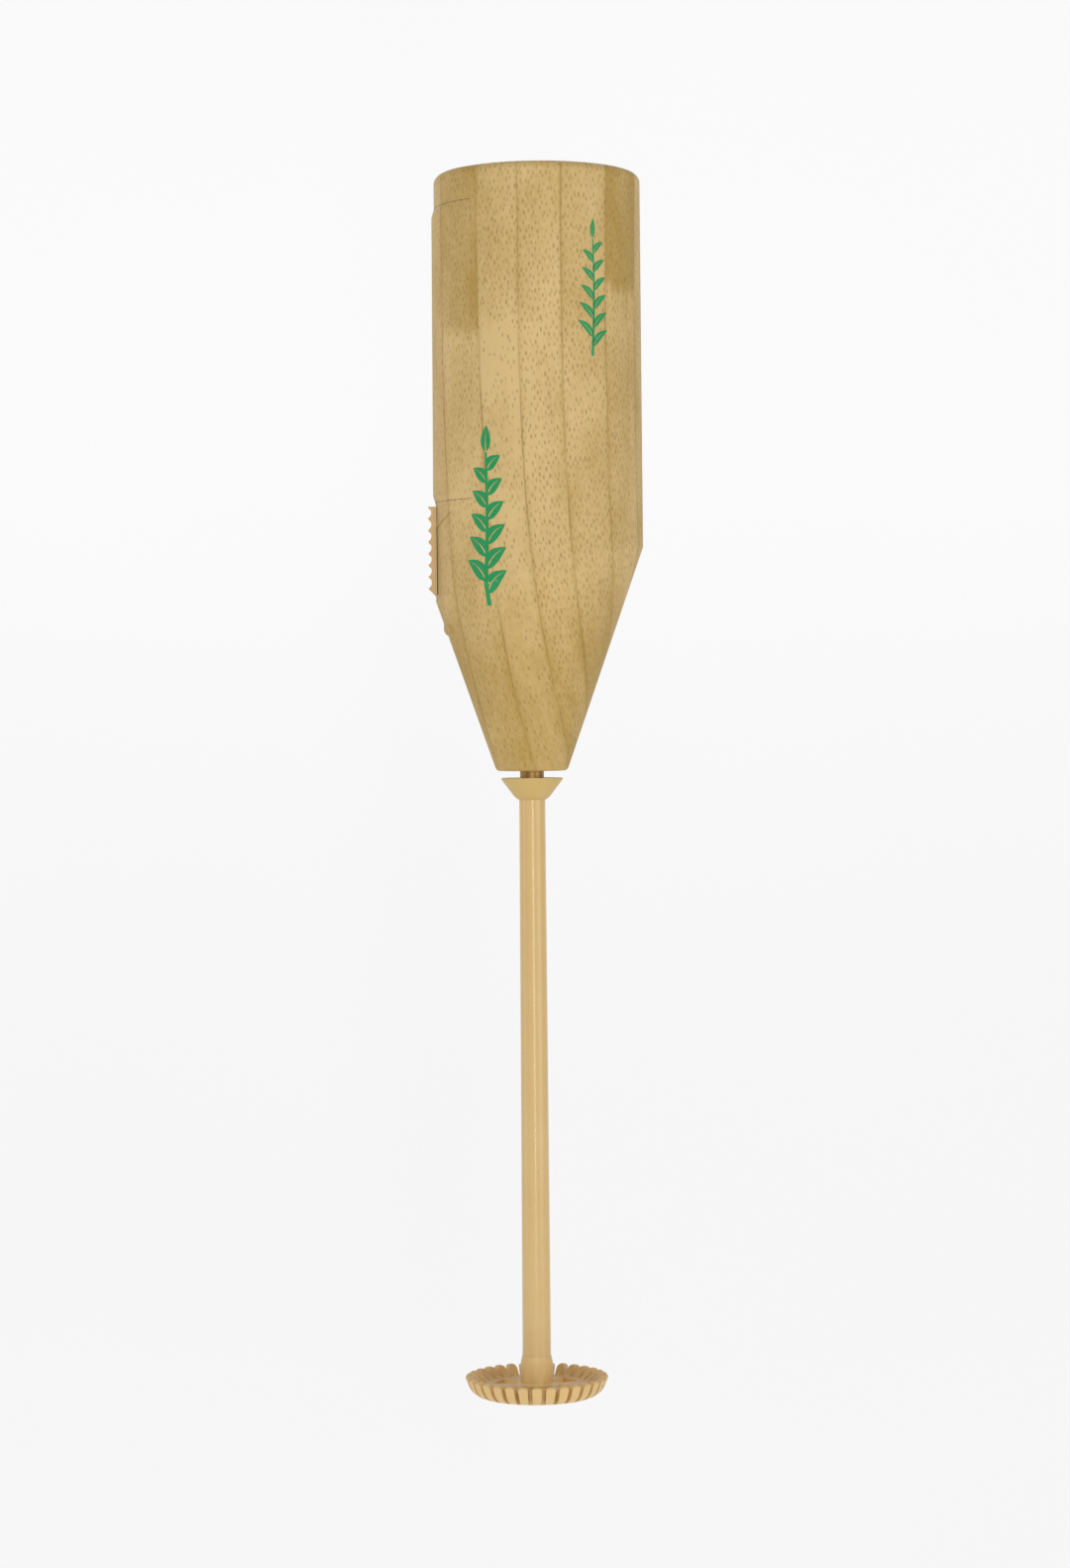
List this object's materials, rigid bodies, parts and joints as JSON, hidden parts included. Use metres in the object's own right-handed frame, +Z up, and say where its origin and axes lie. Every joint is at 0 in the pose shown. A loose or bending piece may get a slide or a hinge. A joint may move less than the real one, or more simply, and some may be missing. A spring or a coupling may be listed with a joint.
{
  "type": "battery tea whisk",
  "caption": "Hand-held battery tea whisk: bamboo-patterned round grip with a thumb slide switch and a battery door, a tapered nose, a long thin wand and a small toothed bowl that spins.",
  "frame": {"origin": "on the whisk's spin axis, half-way up the straight part of the grip, where the hand holds it", "axes": "+Z up along the spin axis, from the whisk to the grip's end cap; -X towards the battery door and the thumb switch; +Y completes a right-handed frame"},
  "size_m": [0.0395, 0.0382, 0.2251],
  "materials": {
    "bamboo_print": "satin, bamboo-pattern film over moulded plastic",
    "wand_plastic": "semi-gloss moulded plastic",
    "button_plastic": "plain moulded plastic",
    "chassis_plastic": "plain natural moulding",
    "cell_jacket": "printed film on a steel can",
    "contact_strip": "nickel-plated spring steel",
    "motor_steel": "zinc-plated drawn steel",
    "shaft_steel": "ground steel",
    "spindle_brass": "turned brass, a little dull; the metal is guessed from its brown-gold colour",
    "bell_plastic": "white nylon",
    "bronze": "sintered bronze",
    "copper": "copper",
    "ferrite": "pressed ferrite"
  },
  "bodies": {
    "handle": {"case_shell": "bamboo_print", "end_cap": "bamboo_print", "nose_bushing": "bronze", "inner_chassis": "chassis_plastic", "battery_cell_left": "cell_jacket", "battery_cell_right": "cell_jacket", "lower_spring": "contact_strip", "upper_spring": "contact_strip", "bridge_contact": "contact_strip", "negative_contact": "contact_strip", "positive_contact": "contact_strip", "switch_contact": "contact_strip", "motor_can": "motor_steel", "motor_end_bell": "bell_plastic", "motor_front_bushing": "bronze", "motor_rear_bushing": "bronze", "motor_magnets": "ferrite", "motor_brushes": "copper", "motor_terminals": "copper"},
    "rotor": {"motor_shaft": "shaft_steel", "armature_core": "motor_steel", "armature_windings": "copper", "commutator": "copper", "drive_spindle": "spindle_brass", "wand_collar": "wand_plastic", "wand_tube": "wand_plastic", "whisk_head": "wand_plastic"},
    "switch": {"switch_button": "button_plastic", "switch_carrier": "chassis_plastic", "switch_leaf": "copper"},
    "door": {"battery_door": "bamboo_print"}
  },
  "joints": [
    {"name": "whisk_spin", "type": "hinge", "parent": "handle", "child": "rotor", "pos_m": [0, 0, -0.0755], "axis": [0, 0, 1], "continuous": true},
    {"name": "switch_slide", "type": "slide", "parent": "handle", "child": "switch", "axis": [0, 0, -1], "range_m": [0, 0.003]},
    {"name": "door_lift", "type": "slide", "parent": "handle", "child": "door", "axis": [-1, 0, 0], "range_m": [0, 0.03]}
  ]
}
